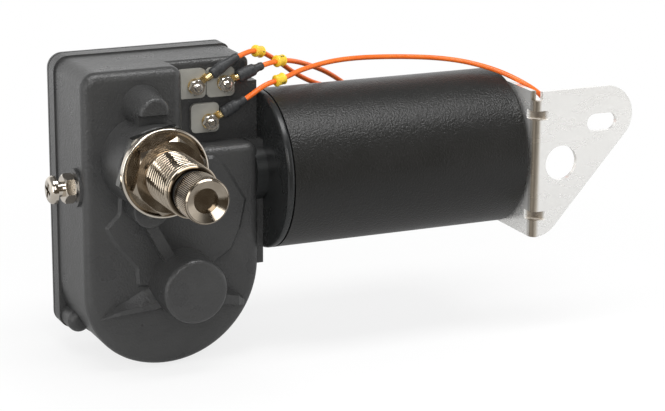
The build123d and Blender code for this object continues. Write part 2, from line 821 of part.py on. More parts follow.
def thrust_pad():
    start = case_left + case_wall + case_wall
    return rod(motor_y, motor_z, start, start + thrust_pad_thickness, shaft_radius)


def adjuster_screw():
    head_right = adjuster_head_left + adjuster_head_thickness
    head = rod(motor_y, motor_z, adjuster_head_left, head_right, adjuster_head_radius)
    head = fillet(head.edges().group_by(Axis.X)[0], adjuster_head_thickness * 0.7)
    for turn in (20, 110):
        bar = Pos(motor_y, motor_z) * Rot(0, 0, turn) * Rectangle(cross_length, cross_width)
        head -= extrude(Plane.YZ.offset(adjuster_head_left) * bar, amount=cross_depth)
    return head + rod(motor_y, motor_z, head_right, case_left + case_wall + case_wall, adjuster_radius)


def adjuster_lock_nut():
    start = case_left - adjuster_boss_height - lock_nut_thickness
    nut = hex_nut(lock_nut_flats, lock_nut_thickness, adjuster_radius, lock_nut_turn, nut_chamfer * 0.8)
    return Plane.YZ.offset(start) * Pos(motor_y, motor_z, 0) * nut


def bar_link(start, end, radius_start, radius_end, half_width):
    """Flat bar between two round eyes, as an X-Z profile."""
    length = math.hypot(end[0] - start[0], end[1] - start[1])
    turn = math.degrees(math.atan2(end[1] - start[1], end[0] - start[0]))
    bar = Pos(length / 2, 0) * Rectangle(length, 2 * half_width)
    profile = bar + Circle(radius_start) + Pos(length, 0) * Circle(radius_end)
    return Pos(start[0], start[1]) * Rot(0, 0, turn) * profile


def spindle_lever():
    eye = linkage_points()[0]
    profile = bar_link((0, 0), eye, lever_hub_radius, lever_eye_radius, lever_eye_radius * 0.9)
    profile -= Circle(spindle_tail_radius)
    profile -= Pos(eye[0], eye[1]) * Circle(link_pin_radius)
    return slab(profile, lever_depth, lever_depth + lever_thickness)


def spindle_clip():
    front = lever_depth + lever_thickness
    return ring_post(0, 0, front + clip_thickness, front, spindle_tail_radius + clip_width, spindle_tail_radius)


def connecting_link():
    eye, pin = linkage_points()
    profile = bar_link(eye, pin, lever_eye_radius, crank_eye_radius, link_half_width)
    profile -= Pos(eye[0], eye[1]) * Circle(link_pin_radius + running_clearance)
    profile -= Pos(pin[0], pin[1]) * Circle(crank_pin_radius)
    return slab(profile, link_depth, link_depth + link_thickness)


def link_pin():
    """Pin pressed into the lever, on which the link turns."""
    eye = linkage_points()[0]
    x, z = eye
    head_rear = link_depth - crank_pin_gap / 2
    shape = post(x, z, lever_depth + lever_thickness, head_rear, link_pin_radius)
    return shape + post(x, z, head_rear, head_rear - pin_head_thickness, link_pin_radius + pin_head_lip)


def crank_pin():
    """Pin riveted into the link's lower eye, flush with its front."""
    x, z = linkage_points()[1]
    rear = link_depth + link_thickness
    shape = post(x, z, rear, link_depth, crank_pin_radius)
    return shape + post(x, z, rear + pin_head_thickness, rear, crank_pin_radius + pin_head_lip)


def motor_tube():
    return ring_rod(motor_y, motor_z, tube_start, tube_end, tube_radius, tube_inner_radius)


def motor_front_bell():
    shape = rod(motor_y, motor_z, bell_front, tube_start, tube_radius)
    shape = fillet(shape.edges().filter_by(GeomType.CIRCLE), bell_edge)
    shape += rod(motor_y, motor_z, case_right - pad_thickness / 2, bell_front, spigot_radius)
    shape += rod(motor_y, motor_z, tube_start, tube_start + bell_register, tube_inner_radius)
    front = case_right - pad_thickness / 2
    shape -= rod(motor_y, motor_z, front, tube_start + bell_register, right_bush_radius)
    for height in tie_heights:
        shape -= rod(tie_y, height, bell_front, tube_start + bell_register, tie_bolt_radius)
    return shape


def motor_end_cap():
    shape = rod(motor_y, motor_z, tube_end, cap_end, tube_radius)
    shape = fillet(shape.edges().group_by(Axis.X)[-1], cap_edge)
    shape += rod(motor_y, motor_z, tube_end - cap_register, tube_end, tube_inner_radius)
    shape += rod(motor_y, motor_z, tube_end - cap_hub_inside, plate_start, cap_hub_radius)
    for height in tie_heights:
        shape += rod(tie_y, height, cap_end, plate_start, tie_boss_radius)
        shape -= rod(tie_y, height, tube_end - cap_register, plate_start, tie_bolt_radius)
    hub_start = tube_end - cap_hub_inside
    shape -= rod(motor_y, motor_z, hub_start, hub_start + end_bearing_length, end_bearing_radius)
    shape -= rod(motor_y, motor_z, tube_end, cap_end, shaft_radius + air_gap)
    return shape - rod(grommet_y, motor_z, tube_end - cap_register, cap_end, grommet_radius)


def rear_bearing():
    start = tube_end - cap_hub_inside
    return ring_rod(
        motor_y, motor_z, start, start + end_bearing_length, end_bearing_radius, shaft_radius + running_clearance
    )


def magnet(side):
    """Arc magnet against the tube wall; side is 1 at the rear and -1 at the front."""
    sector = Circle(tube_inner_radius) - Circle(core_radius + air_gap)
    half = math.radians(magnet_arc / 2)
    far = 2 * tube_radius
    wedge = Polyline(
        (0, 0),
        (side * far * math.cos(half), -far * math.sin(half)),
        (side * far * math.cos(half), far * math.sin(half)),
        close=True,
    )
    section = sector & make_face(wedge)
    start = core_start - magnet_overhang
    length = core_length + 2 * magnet_overhang
    return extrude(Plane.YZ.offset(start) * Pos(motor_y, motor_z) * section, amount=length)


def brush_frame(turn):
    """Plane at the start of the brush gear whose X direction points along one brush."""
    angle = math.radians(turn)
    x_dir = (0, math.cos(angle), math.sin(angle))
    return Plane(origin=(holder_box_start, motor_y, motor_z), x_dir=x_dir, z_dir=(1, 0, 0))


def brush_holder():
    """Insulating plate with an outer rim and three open-ended brush boxes."""
    plate_end = holder_plate_start + holder_plate_thickness
    shape = ring_rod(motor_y, motor_z, holder_plate_start, plate_end, tube_inner_radius, holder_bore_radius)
    rim_bore = tube_inner_radius - holder_rim_thickness
    shape += ring_rod(motor_y, motor_z, holder_box_start, plate_end, tube_inner_radius, rim_bore)
    depth = holder_plate_start - holder_box_start
    inner = commutator_radius + brush_box_set_back
    outer = commutator_radius + brush_gap + brush_length
    for turn in brush_angles:
        frame = brush_frame(turn)
        wide = Rectangle(outer - inner, brush_width + 2 * brush_box_wall)
        open_way = Rectangle(outer - inner, brush_width)
        box = extrude(wide, amount=depth) - Pos(0, 0, brush_box_wall) * extrude(open_way, amount=brush_height)
        shape += frame * Pos((inner + outer) / 2, 0, 0) * box
    for height in tie_heights:
        shape -= rod(tie_y, height, holder_box_start, plate_end, tie_bolt_radius + holder_bolt_clearance)
    return shape


def brush(turn):
    inner = commutator_radius + brush_gap
    block = Box(brush_length, brush_width, brush_height, align=(Align.MIN, Align.CENTER, Align.MIN))
    return brush_frame(turn) * Pos(inner, 0, brush_box_wall) * block


def brush_spring(turn):
    """Spring between a brush and the holder's rim, as its outer cylinder."""
    inner = commutator_radius + brush_gap + brush_length
    rim_bore = tube_inner_radius - holder_rim_thickness
    length = math.sqrt(rim_bore**2 - brush_spring_radius**2) - inner
    plane = brush_frame(turn)
    coil = Rot(0, 90, 0) * Cylinder(brush_spring_radius, length, align=FLAT)
    return plane * Pos(inner, 0, brush_box_wall + brush_height / 2) * coil


def tie_bolt(height):
    end = plate_start + bracket_thickness + tie_nut_thickness + tie_bolt_end_length
    return rod(tie_y, height, tie_bolt_start, end, tie_bolt_radius)


def tie_nut(height):
    nut = hex_nut(tie_nut_flats, tie_nut_thickness, tie_bolt_radius, 0, nut_chamfer * 0.5)
    return Plane.YZ.offset(plate_start + bracket_thickness) * Pos(tie_y, height, 0) * nut


def bracket_flange_outline():
    """Flange in X and Z: a straight bend edge, two round ends and a slanted edge."""
    low_z = bracket_bottom + bracket_bottom_radius
    bottom = Pos(bracket_bottom_x, low_z) * Circle(bracket_bottom_radius)
    corner = Pos(bracket_corner_x, bracket_corner_z) * Circle(bracket_corner_radius)
    dx = bracket_corner_x - bracket_bottom_x
    dz = bracket_corner_z - low_z
    reach = math.hypot(dx, dz)
    lean = math.atan2(dz, dx)
    side = lean - math.acos((bracket_bottom_radius - bracket_corner_radius) / reach)
    touch_low = (
        bracket_bottom_x + bracket_bottom_radius * math.cos(side),
        low_z + bracket_bottom_radius * math.sin(side),
    )
    touch_high = (
        bracket_corner_x + bracket_corner_radius * math.cos(side),
        bracket_corner_z + bracket_corner_radius * math.sin(side),
    )
    body = make_face(
        Polyline(
            (plate_start, bracket_top),
            (bracket_corner_x, bracket_top),
            (bracket_corner_x, bracket_corner_z),
            touch_high,
            touch_low,
            (bracket_bottom_x, low_z),
            (plate_start, low_z),
            close=True,
        )
    )
    outline = body + bottom + corner
    keep = Pos(plate_start, bracket_bottom) * Rectangle(oversize, oversize, align=(Align.MIN, Align.MIN))
    return outline & keep


def bracket_sheet():
    """Sheet bent to a right angle, before its outline is cut."""
    inside = plate_start + bracket_thickness
    far = bracket_corner_x + bracket_corner_radius
    profile = Polyline(
        (plate_start, 0),
        (far, 0),
        (far, bracket_thickness),
        (inside, bracket_thickness),
        (inside, bracket_base_rear),
        (plate_start, bracket_base_rear),
        close=True,
    )
    face = make_face(profile)
    face = fillet(face.vertices().sort_by_distance((plate_start, 0, 0))[0], bracket_bend_radius)
    face = fillet(face.vertices().sort_by_distance((inside, bracket_thickness, 0))[0], bracket_inner_bend)
    return extrude(Plane.XY.offset(bracket_bottom) * face, amount=bracket_top - bracket_bottom)


def mounting_bracket():
    inside_x = plate_start + bracket_thickness
    height = bracket_top - bracket_bottom
    strip = Pos(plate_start, bracket_bottom) * Rectangle(bracket_thickness, height, align=(Align.MIN, Align.MIN))
    shape = bracket_sheet() & slab(bracket_flange_outline() + strip, 0, bracket_base_rear)
    base = Pos(0, bracket_bottom) * Rectangle(bracket_base_rear, height, align=(Align.MIN, Align.MIN))
    base = fillet(base.vertices().group_by(Axis.X)[-1], bracket_base_corner)
    shape = shape & extrude(Plane.YZ.offset(plate_start) * base, amount=oversize)
    shape -= post(bracket_hole_x, bracket_hole_z, bracket_thickness, 0, bracket_hole_radius)
    slot = Pos(bracket_slot_x, bracket_slot_z) * SlotOverall(bracket_slot_length, bracket_slot_width)
    shape -= slab(slot, 0, bracket_thickness)
    for z in gusset_places:
        web = Polyline(
            (inside_x, bracket_thickness),
            (inside_x + gusset_reach, bracket_thickness),
            (inside_x, bracket_thickness + gusset_reach),
            close=True,
        )
        shape += extrude(Plane.XY.offset(z - gusset_half_width) * make_face(web), amount=2 * gusset_half_width)
        dent = Polyline(
            (plate_start, 0),
            (plate_start + gusset_reach, 0),
            (plate_start, gusset_reach),
            close=True,
        )
        groove = extrude(Plane.XY.offset(z - gusset_half_width * 0.6) * make_face(dent), amount=gusset_half_width * 1.2)
        shape -= groove
    notch = Pos(plate_start, bracket_top) * Rectangle(notch_width * 2, notch_depth * 2)
    shape -= slab(notch, 0, bracket_thickness * 1.5)
    for height in tie_heights:
        shape -= rod(tie_y, height, plate_start, inside_x, tie_bolt_radius)
    return shape


def terminal_pad(x, z):
    outline = Pos(x, z) * RectangleRounded(terminal_pad_width, terminal_pad_height, terminal_pad_corner)
    shape = slab(outline, recess_floor - terminal_pad_thickness, recess_floor)
    for stud_x, stud_z in terminal_places:
        shape -= post(stud_x, stud_z, recess_floor, recess_floor - terminal_pad_thickness, terminal_stud_radius)
    return shape


def terminal_stud(x, z):
    stud = post(x, z, recess_back + terminal_stud_inside, terminal_stud_front, terminal_stud_radius)
    return chamfer(stud.edges().group_by(Axis.Y)[0], terminal_stud_chamfer)


def terminal_nut(x, z):
    base = recess_floor - terminal_pad_thickness - ring_thickness
    trim = nut_chamfer * 0.4
    nut = hex_nut(terminal_nut_flats, terminal_nut_thickness, terminal_stud_radius, 10, trim)
    sink = Cone(terminal_stud_radius, terminal_stud_radius + trim, trim, align=FLAT)
    nut -= Pos(0, 0, terminal_nut_thickness - trim) * sink
    return Plane.XZ.offset(-base) * Pos(x, z, 0) * nut


def ring_terminal(place, route, barrel_length):
    """Flat ring under the nut, with a round barrel along the lead's first run."""
    x, z = place
    rear = recess_floor - terminal_pad_thickness
    start = Vector(*route[0])
    along = (Vector(*route[1]) - start).normalized()
    shape = post(x, z, rear, rear - ring_thickness, ring_radius)
    flat = Vector(start.X - x, 0, start.Z - z)
    turn = math.degrees(math.atan2(flat.Z, flat.X))
    reach = flat.length - barrel_length / 2
    tongue = Pos(x, z) * Rot(0, 0, turn) * Rectangle(reach, 2 * barrel_radius, align=(Align.MIN, Align.CENTER))
    shape += slab(tongue, rear - ring_thickness, rear)
    barrel = Plane(origin=start - along * barrel_length, z_dir=along)
    shape += barrel * Cylinder(barrel_radius, barrel_length, align=FLAT)
    return shape - post(x, z, rear, rear - ring_thickness, terminal_stud_radius)


def bend_radii(points):
    """Largest even bend at each inner point of a route."""
    radii = []
    for before, here, after in zip(points, points[1:], points[2:]):
        first = Vector(*here) - Vector(*before)
        second = Vector(*after) - Vector(*here)
        turn = math.radians(first.get_angle(second))
        radii.append(bend_share * min(first.length, second.length) / math.tan(turn / 2))
    return radii


def route_wire(points):
    return Wire(FilletPolyline(*points, radius=bend_radii(points)).edges())


def along_route(wire, start, end, radius, bore=0.0):
    """Round tube along the stretch of a route between two lengths from its start."""
    stretch = wire.trim(start / wire.length, end / wire.length)
    section = Circle(radius)
    if bore:
        section -= Circle(bore)
    plane = Plane(origin=stretch.position_at(0), z_dir=stretch.tangent_at(0))
    return sweep(plane * section, path=stretch)


def save(node, shape):
    export_step(shape, os.path.join("parts", node + ".step"))


def main():
    os.makedirs("parts", exist_ok=True)
    save("gearbox_housing", gearbox_housing())
    save("gearbox_cover", gearbox_cover())
    save("cover_gasket", cover_gasket())
    save("cover_screws", Compound([cover_screw(x, z) for x, z in screw_places + [(lug_x, lug_z)]]))
    save("spindle_bush", spindle_bush())
    save("spindle_bearing_front", spindle_bearing_front())
    save("spindle_bearing_rear", spindle_bearing_rear())
    save("spindle_seal", spindle_seal())
    save("back_nut", back_nut())
    save("mounting_washer", mounting_washer())
    save("mounting_nut", mounting_nut())
    save("wiper_spindle", wiper_spindle())
    save("spindle_lever", spindle_lever())
    save("spindle_clip", spindle_clip())
    save("link_pin", link_pin())
    save("connecting_link", connecting_link())
    save("crank_pin", crank_pin())
    save("worm_wheel", worm_wheel())
    save("wheel_stud", wheel_stud())
    save("wheel_clip", wheel_clip())
    save("worm_shaft", worm_shaft())
    save("armature_core", armature_core())
    save("armature_windings", armature_windings())
    save("commutator", commutator())
    save("shaft_bush_left", shaft_bush_left())
    save("shaft_bush_gearbox", shaft_bush_gearbox())
    save("thrust_pad", thrust_pad())
    save("adjuster_screw", adjuster_screw())
    save("adjuster_lock_nut", adjuster_lock_nut())
    save("motor_tube", motor_tube())
    save("motor_front_bell", motor_front_bell())
    save("motor_end_cap", motor_end_cap())
    save("rear_bearing", rear_bearing())
    save("magnets", Compound([magnet(1), magnet(-1)]))
    save("brush_holder", brush_holder())
    save("brushes", Compound([brush(turn) for turn in brush_angles]))
    save("brush_springs", Compound([brush_spring(turn) for turn in brush_angles]))
    save("tie_bolts", Compound([tie_bolt(height) for height in tie_heights]))
    save("tie_nuts", Compound([tie_nut(height) for height in tie_heights]))
    save("mounting_bracket", mounting_bracket())
    save("terminal_pads", Compound([terminal_pad(x, z) for x, z in terminal_pad_centres]))
    save("terminal_studs", Compound([terminal_stud(x, z) for x, z in terminal_places]))
    save("terminal_nuts", Compound([terminal_nut(x, z) for x, z in terminal_places]))
    routes = [lead_1_route, lead_2_route, lead_3_route]
    rings = [ring_terminal(*sizes) for sizes in zip(terminal_places, routes, barrel_lengths)]
    save("ring_terminals", Compound(rings))
    save("lead_grommet", rod(grommet_y, motor_z, tube_end - cap_register, cap_end + grommet_flange, grommet_radius))
    sleeves = []
    markers = []
    for number, route in enumerate(routes):
        wire = route_wire(route)
        sleeve_end = sleeve_lengths[number]
        sleeves.append(along_route(wire, 0, sleeve_end, sleeve_radius))
        lead = along_route(wire, sleeve_end, wire.length, lead_radius)
        span = marker_spans[number]
        markers.append(along_route(wire, span[0], span[1], marker_radius, lead_radius))
        save("lead_" + str(number + 1), lead)
        expected = math.pi * lead_radius**2 * (wire.length - sleeve_end)
        print("lead", number + 1, "length", round(wire.length, 1), "bend radii", [round(r, 1) for r in bend_radii(route)])
        print("  volume over section times length", round(lead.volume / expected, 4))
    save("heat_shrink_sleeves", Compound(sleeves))
    save("lead_markers", Compound(markers))


main()
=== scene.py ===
import math

import bmesh
import bpy
from mathutils import Matrix, Vector


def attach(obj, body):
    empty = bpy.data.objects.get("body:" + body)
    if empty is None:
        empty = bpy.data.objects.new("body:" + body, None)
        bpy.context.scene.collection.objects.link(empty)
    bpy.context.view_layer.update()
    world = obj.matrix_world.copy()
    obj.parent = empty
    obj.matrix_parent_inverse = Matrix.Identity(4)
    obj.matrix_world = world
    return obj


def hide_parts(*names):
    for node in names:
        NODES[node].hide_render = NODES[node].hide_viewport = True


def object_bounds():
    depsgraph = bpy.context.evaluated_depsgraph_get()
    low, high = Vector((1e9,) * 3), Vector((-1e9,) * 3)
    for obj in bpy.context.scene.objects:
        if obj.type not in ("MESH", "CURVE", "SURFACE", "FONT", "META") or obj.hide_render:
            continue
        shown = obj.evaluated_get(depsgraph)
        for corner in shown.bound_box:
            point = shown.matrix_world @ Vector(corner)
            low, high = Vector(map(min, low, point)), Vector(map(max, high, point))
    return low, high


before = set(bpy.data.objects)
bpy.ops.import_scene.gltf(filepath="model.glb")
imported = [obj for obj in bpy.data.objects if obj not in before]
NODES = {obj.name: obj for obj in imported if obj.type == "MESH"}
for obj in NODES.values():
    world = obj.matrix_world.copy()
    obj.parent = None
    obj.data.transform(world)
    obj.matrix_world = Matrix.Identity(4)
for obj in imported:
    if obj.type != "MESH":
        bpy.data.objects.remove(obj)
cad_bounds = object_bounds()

MM = 0.001
WHITE = (1, 1, 1, 1)

# Building blocks of the materials

# Heights of a noise at which its first and last colours are reached
NOISE_LOW = 0.3
NOISE_HIGH = 0.7
NOISE_ROUGHNESS = 0.55
NOISE_DETAIL = 4.0

# Places of the colour sockets on a mix node, where several sockets share one name
MIX_FIRST = 6
MIX_SECOND = 7
MIX_RESULT = 2


def feed(tree, value, socket):
    """Link a socket to another, or give it a constant."""
    if isinstance(value, bpy.types.NodeSocket):
        tree.links.new(value, socket)
    else:
        socket.default_value = value


def grey(v):
    return (v, v, v)


def new_material(name):
    material = bpy.data.materials.new(name)
    material.use_nodes = True
    tree = material.node_tree
    return material, tree, tree.nodes["Principled BSDF"]


def object_place(tree):
    """Place on the piece, in metres of the shared frame."""
    return tree.nodes.new("ShaderNodeTexCoord").outputs["Object"]


def noise(tree, scale, detail, stretch):
    mapping = tree.nodes.new("ShaderNodeMapping")
    mapping.inputs["Scale"].default_value = stretch
    texture = tree.nodes.new("ShaderNodeTexNoise")
    texture.inputs["Scale"].default_value = scale
    texture.inputs["Detail"].default_value = detail
    texture.inputs["Roughness"].default_value = NOISE_ROUGHNESS
    tree.links.new(object_place(tree), mapping.inputs["Vector"])
    tree.links.new(mapping.outputs["Vector"], texture.inputs["Vector"])
    return texture.outputs["Fac"]


def ramp(tree, source, stops):
    """Colours along a value, as (position, colour) stops."""
    node = tree.nodes.new("ShaderNodeValToRGB")
    elements = node.color_ramp.elements
    while len(elements) < len(stops):
        elements.new(0.5)
    for element, (position, colour) in zip(elements, stops):
        element.position = position
        element.color = (*colour, 1)
    tree.links.new(source, node.inputs["Fac"])
    return node.outputs["Color"]


def map_range(tree, source, low, high, to_low=0.0, to_high=1.0):
    node = tree.nodes.new("ShaderNodeMapRange")
    node.inputs["From Min"].default_value = low
    node.inputs["From Max"].default_value = high
    node.inputs["To Min"].default_value = to_low
    node.inputs["To Max"].default_value = to_high
    tree.links.new(source, node.inputs["Value"])
    return node.outputs["Result"]


def combined(tree, operation, first, second):
    """One number from two, by a math operation."""
    node = tree.nodes.new("ShaderNodeMath")
    node.operation = operation
    feed(tree, first, node.inputs[0])
    feed(tree, second, node.inputs[1])
    return node.outputs["Value"]


def vector_math(tree, operation, source, other=(0, 0, 0)):
    node = tree.nodes.new("ShaderNodeVectorMath")
    node.operation = operation
    tree.links.new(source, node.inputs[0])
    node.inputs[1].default_value = other
    return node.outputs


def mixed(tree, kind, factor, first, second):
    """Mix of two colours, each a socket or a constant."""
    node = tree.nodes.new("ShaderNodeMix")
    node.data_type = "RGBA"
    node.blend_type = kind
    feed(tree, factor, node.inputs["Factor"])
    feed(tree, first, node.inputs[MIX_FIRST])
    feed(tree, second, node.inputs[MIX_SECOND])
    return node.outputs[MIX_RESULT]


def mixed_shader(tree, factor, first, second):
    node = tree.nodes.new("ShaderNodeMixShader")
    tree.links.new(factor, node.inputs["Fac"])
    tree.links.new(first, node.inputs[1])
    tree.links.new(second, node.inputs[2])
    return node.outputs["Shader"]


def bump(tree, shader, height, strength, distance, previous):
    """One bump layer on top of the previous one."""
    node = tree.nodes.new("ShaderNodeBump")
    node.inputs["Strength"].default_value = strength
    node.inputs["Distance"].default_value = distance
    tree.links.new(height, node.inputs["Height"])
    if previous is not None:
        tree.links.new(previous, node.inputs["Normal"])
    tree.links.new(node.outputs["Normal"], shader.inputs["Normal"])
    return node.outputs["Normal"]


def surface(name, low, high, rough_low, rough_high, scale, metallic=0.0, bumps=(), stretch=(1, 1, 1)):
    """Base colour and roughness that vary with noise, and any number of bump layers."""
    material, tree, shader = new_material(name)
    shader.inputs["Metallic"].default_value = metallic
    tone = noise(tree, scale, NOISE_DETAIL, stretch)
    tree.links.new(ramp(tree, tone, [(NOISE_LOW, low), (NOISE_HIGH, high)]), shader.inputs["Base Color"])
    gloss = ramp(tree, tone, [(NOISE_LOW, grey(rough_low)), (NOISE_HIGH, grey(rough_high))])
    tree.links.new(gloss, shader.inputs["Roughness"])
    previous = None
    for bump_scale, detail, strength, distance in bumps:
        height = noise(tree, bump_scale, detail, stretch)
        previous = bump(tree, shader, height, strength, distance, previous)
    return material


def base_colour(material):
    """A material's nodes, its shader and the socket that colours it."""
    tree = material.node_tree
    shader = tree.nodes["Principled BSDF"]
    return tree, shader, shader.inputs["Base Color"].links[0].from_socket


# Materials

case_black = surface(
    "case_black_coat", (0.038, 0.038, 0.038), (0.049, 0.049, 0.048), 0.25, 0.35, 60,
    bumps=((1250, 2.0, 0.9, 0.00026), (2300, 1.0, 0.35, 0.00010)),
)
tube_black = surface(
    "tube_black_coat", (0.009, 0.009, 0.008), (0.012, 0.0115, 0.0105), 0.30, 0.37, 40,
    bumps=((1350, 2.0, 0.9, 0.00026),),
)
bell_black = surface(
    "bell_black_coat", (0.015, 0.016, 0.016), (0.020, 0.021, 0.021), 0.24, 0.32, 50,
    bumps=((420, 2.0, 0.06, 0.00008),),
)
# Two base colours, two roughnesses and the scale of the noise between them
NICKEL = ((0.38, 0.32, 0.25), (0.50, 0.44, 0.36), 0.11, 0.19, 180)
nickel = surface("bright_nickel", *NICKEL, metallic=1.0, bumps=((700, 2.0, 0.03, 0.00005),))
washer_nickel = surface(
    "washer_nickel", (0.68, 0.61, 0.52), (0.82, 0.76, 0.67), 0.10, 0.18, 180, metallic=1.0,
    bumps=((700, 2.0, 0.03, 0.00005),),
)
plated = surface(
    "plated_terminal", (0.86, 0.83, 0.78), (0.95, 0.93, 0.90), 0.15, 0.24, 300, metallic=1.0,
    bumps=((900, 2.0, 0.06, 0.00005),),
)


def grooved(name, root, crest):
    """Bright nickel with painted shade in the roots and a painted highlight on the crests, for radii about
    the spindle axis in metres.
    """
    material = surface(name, *NICKEL, metallic=1.0)
    tree, shader, colour = base_colour(material)
    across = vector_math(tree, "MULTIPLY", object_place(tree), (1, 0, 1))["Vector"]
    radius = vector_math(tree, "LENGTH", across)["Value"]
    # Painted shade, darker towards the roots, and a painted highlight, brighter than the metal on the crests
    painted_shade_and_highlight = ramp(
        tree, map_range(tree, radius, root, crest),
        [(0.0, (0.10, 0.085, 0.065)), (0.45, (0.42, 0.39, 0.35)), (1.0, grey(1.25))],
    )
    tree.links.new(mixed(tree, "MULTIPLY", 1.0, colour, painted_shade_and_highlight), shader.inputs["Base Color"])
    return material


# Nickel with painted shade in the thread's roots and between the knurl's teeth
thread_nickel = grooved("threaded_nickel", 0.0090, 0.0098)
knurl_nickel = grooved("knurled_nickel", 0.00824, 0.00854)
zinc = surface(
    "bright_zinc", (0.42, 0.42, 0.41), (0.58, 0.58, 0.57), 0.26, 0.40, 350, metallic=1.0,
    bumps=((900, 2.0, 0.08, 0.00006),),
)
steel = surface(
    "machined_steel", (0.42, 0.42, 0.43), (0.55, 0.55, 0.56), 0.25, 0.4, 300, metallic=1.0,
    bumps=((800, 2.0, 0.08, 0.00005),),
)
# A darker copy of the machined steel: painted shade for the back nut in the washer's shadow
shaded_steel = surface(
    "shaded_steel", (0.13, 0.13, 0.125), (0.21, 0.21, 0.20), 0.22, 0.34, 300, metallic=1.0,
    bumps=((900, 2.0, 0.08, 0.00006),),
)
bracket_steel = surface(
    "polished_sheet", (0.955, 0.945, 0.92), (0.985, 0.975, 0.95), 0.22, 0.30, 70, metallic=0.62,
    stretch=(1, 1, 3),
)

# The bracket's left edge, the bend's width and depth along it, and the gussets' places and sizes
BRACKET_LEFT = NODES["mounting_bracket"].bound_box[0][0]
BEND_WIDTH = 4.8 * MM
BEND_FRONT = 3.0 * MM
BEND_BACK = 4.2 * MM
GUSSET_HEIGHTS = (7.0 * MM, -34.0 * MM)
GUSSET_REACH = 6.1 * MM
GUSSET_HALF_WIDTH = 1.9 * MM


def paint_bend_reflection_and_gusset_shade(material):
    """Painted reflection along the bracket's bend and painted shade in its two pressed gussets."""
    tree, shader, colour = base_colour(material)
    apart = tree.nodes.new("ShaderNodeSeparateXYZ")
    tree.links.new(object_place(tree), apart.inputs[0])
    x, y, z = apart.outputs
    across = map_range(tree, x, BRACKET_LEFT - 0.2 * MM, BRACKET_LEFT + BEND_WIDTH)
    # Painted reflection: a dark band across the bend's width, lighter at its edges
    bend = ramp(tree, across, [
        (0.0, grey(0.9)), (0.08, (0.30, 0.26, 0.21)), (0.24, (0.20, 0.17, 0.135)),
        (0.42, (0.55, 0.50, 0.43)), (0.70, grey(1.0)),
    ])
    behind = map_range(tree, y, BEND_FRONT, BEND_BACK)
    colour = mixed(tree, "MULTIPLY", 1.0, colour, mixed(tree, "MIX", behind, bend, WHITE))
    reach = map_range(tree, x, BRACKET_LEFT, BRACKET_LEFT + GUSSET_REACH)
    depth = map_range(tree, y, 0.0, GUSSET_REACH)
    corner = combined(tree, "MAXIMUM", reach, depth)
    for height in GUSSET_HEIGHTS:
        outside = corner
        for edge in (height + GUSSET_HALF_WIDTH, height - GUSSET_HALF_WIDTH):
            outside = combined(tree, "MAXIMUM", outside, map_range(tree, z, height, edge))
        # Painted shade in the gusset, darkest towards its middle and the bend
        gusset_shade = ramp(tree, outside, [(0.55, (0.20, 0.17, 0.14)), (0.85, (0.42, 0.37, 0.31)), (1.0, grey(1.0))])
        colour = mixed(tree, "MULTIPLY", 1.0, colour, gusset_shade)
    tree.links.new(colour, shader.inputs["Base Color"])


paint_bend_reflection_and_gusset_shade(bracket_steel)
bronze = surface("sintered_bronze", (0.45, 0.30, 0.13), (0.58, 0.40, 0.19), 0.4, 0.55, 500, metallic=1.0)
brass = surface("stamped_brass", (0.72, 0.53, 0.24), (0.86, 0.68, 0.36), 0.18, 0.3, 400, metallic=1.0)
copper = surface("enamelled_copper", (0.50, 0.20, 0.08), (0.68, 0.32, 0.14), 0.28, 0.4, 700, metallic=0.9)
ferrite = surface("ground_ferrite", (0.045, 0.045, 0.05), (0.075, 0.075, 0.08), 0.5, 0.65, 300)
carbon = surface("pressed_carbon", (0.03, 0.03, 0.03), (0.05, 0.05, 0.05), 0.5, 0.7, 600)
grey_plastic = surface(
    "moulded_grey", (0.27, 0.262, 0.235), (0.34, 0.33, 0.295), 0.26, 0.36, 120,
    bumps=((1400, 2.0, 0.15, 0.00006),),
)
nylon = surface("natural_nylon", (0.62, 0.58, 0.48), (0.72, 0.69, 0.58), 0.4, 0.5, 100)
sleeve_black = surface(
    "shrunk_tubing", (0.020, 0.021, 0.022), (0.038, 0.040, 0.042), 0.42, 0.56, 300,
    bumps=((420, 3.0, 0.25, 0.00025),),
)
lead_orange = surface(
    "lead_orange_insulation", (0.84, 0.135, 0.012), (0.94, 0.19, 0.022), 0.26, 0.36, 160,
    bumps=((500, 2.0, 0.05, 0.0001),),
)
marker_yellow = surface(
    "marker_yellow_sleeve", (0.80, 0.50, 0.025), (0.92, 0.64, 0.05), 0.28, 0.38, 300,
    bumps=((600, 2.0, 0.06, 0.0001),),
)
ink_black = surface("marker_ink", (0.01, 0.01, 0.01), (0.02, 0.02, 0.02), 0.4, 0.5, 300)
gasket_dark = surface("gasket_sheet", (0.02, 0.02, 0.02), (0.03, 0.03, 0.03), 0.6, 0.7, 500)
rubber = surface("moulded_rubber", (0.012, 0.012, 0.012), (0.02, 0.02, 0.02), 0.5, 0.6, 500)

